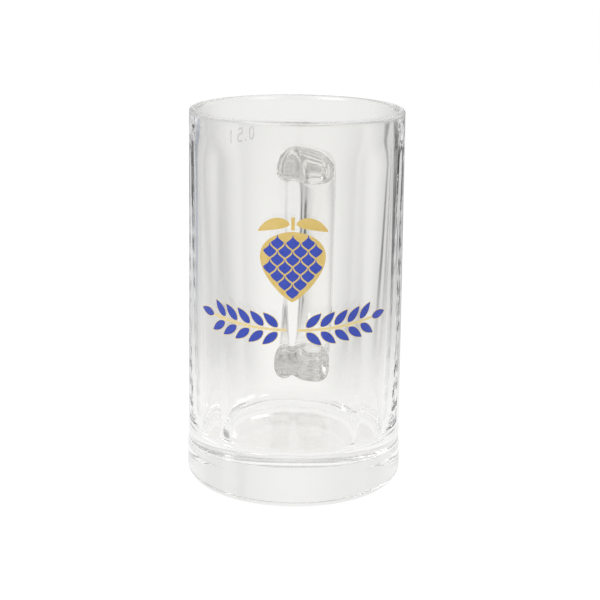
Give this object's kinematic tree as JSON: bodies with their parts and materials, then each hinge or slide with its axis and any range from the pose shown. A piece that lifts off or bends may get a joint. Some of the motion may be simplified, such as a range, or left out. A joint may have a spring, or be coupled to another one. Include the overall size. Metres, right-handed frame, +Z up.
{
  "type": "beer mug",
  "caption": "Tall pressed-glass beer mug: round outside, fluted inside, thick base, D-shaped ear handle at the back, fired blue and gold hop and barley decoration.",
  "frame": {"origin": "on the bowl's axis at table height", "axes": "+Z up along the bowl's axis, +Y out through the middle of the handle, decoration facing -Y"},
  "size_m": [0.0874, 0.127, 0.152],
  "materials": {
    "clear_glass": "clear pressed glass, fire polished",
    "blue_enamel": "fired screen-print enamel, satin gloss",
    "gold_enamel": "fired screen-print enamel, satin gloss",
    "frost_enamel": "fired matt translucent mark"
  },
  "bodies": {
    "root": {"barley_grain_left_lower_1": "blue_enamel", "barley_grain_left_lower_2": "blue_enamel", "barley_grain_left_lower_3": "blue_enamel", "barley_grain_left_lower_4": "blue_enamel", "barley_grain_left_lower_5": "blue_enamel", "barley_grain_left_tip": "blue_enamel", "barley_grain_left_upper_1": "blue_enamel", "barley_grain_left_upper_2": "blue_enamel", "barley_grain_left_upper_3": "blue_enamel", "barley_grain_left_upper_4": "blue_enamel", "barley_grain_left_upper_5": "blue_enamel", "barley_grain_right_lower_1": "blue_enamel", "barley_grain_right_lower_2": "blue_enamel", "barley_grain_right_lower_3": "blue_enamel", "barley_grain_right_lower_4": "blue_enamel", "barley_grain_right_lower_5": "blue_enamel", "barley_grain_right_tip": "blue_enamel", "barley_grain_right_upper_1": "blue_enamel", "barley_grain_right_upper_2": "blue_enamel", "barley_grain_right_upper_3": "blue_enamel", "barley_grain_right_upper_4": "blue_enamel", "barley_grain_right_upper_5": "blue_enamel", "barley_stem_left": "gold_enamel", "barley_stem_right": "gold_enamel", "capacity_figure_0": "frost_enamel", "capacity_figure_5": "frost_enamel", "capacity_litre": "frost_enamel", "capacity_point": "frost_enamel", "glass_bowl": "clear_glass", "handle": "clear_glass", "hop_bract_1_1": "blue_enamel", "hop_bract_1_2": "blue_enamel", "hop_bract_1_3": "blue_enamel", "hop_bract_2_1": "blue_enamel", "hop_bract_2_2": "blue_enamel", "hop_bract_2_3": "blue_enamel", "hop_bract_2_4": "blue_enamel", "hop_bract_3_1": "blue_enamel", "hop_bract_3_2": "blue_enamel", "hop_bract_3_3": "blue_enamel", "hop_bract_4_1": "blue_enamel", "hop_bract_4_2": "blue_enamel", "hop_bract_4_3": "blue_enamel", "hop_bract_4_4": "blue_enamel", "hop_bract_5_1": "blue_enamel", "hop_bract_5_2": "blue_enamel", "hop_bract_5_3": "blue_enamel", "hop_bract_6_1": "blue_enamel", "hop_bract_6_2": "blue_enamel", "hop_bract_7_1": "blue_enamel", "hop_cone_ground": "gold_enamel", "hop_leaf_left": "gold_enamel", "hop_leaf_right": "gold_enamel", "hop_stalk": "gold_enamel"}
  },
  "joints": []
}
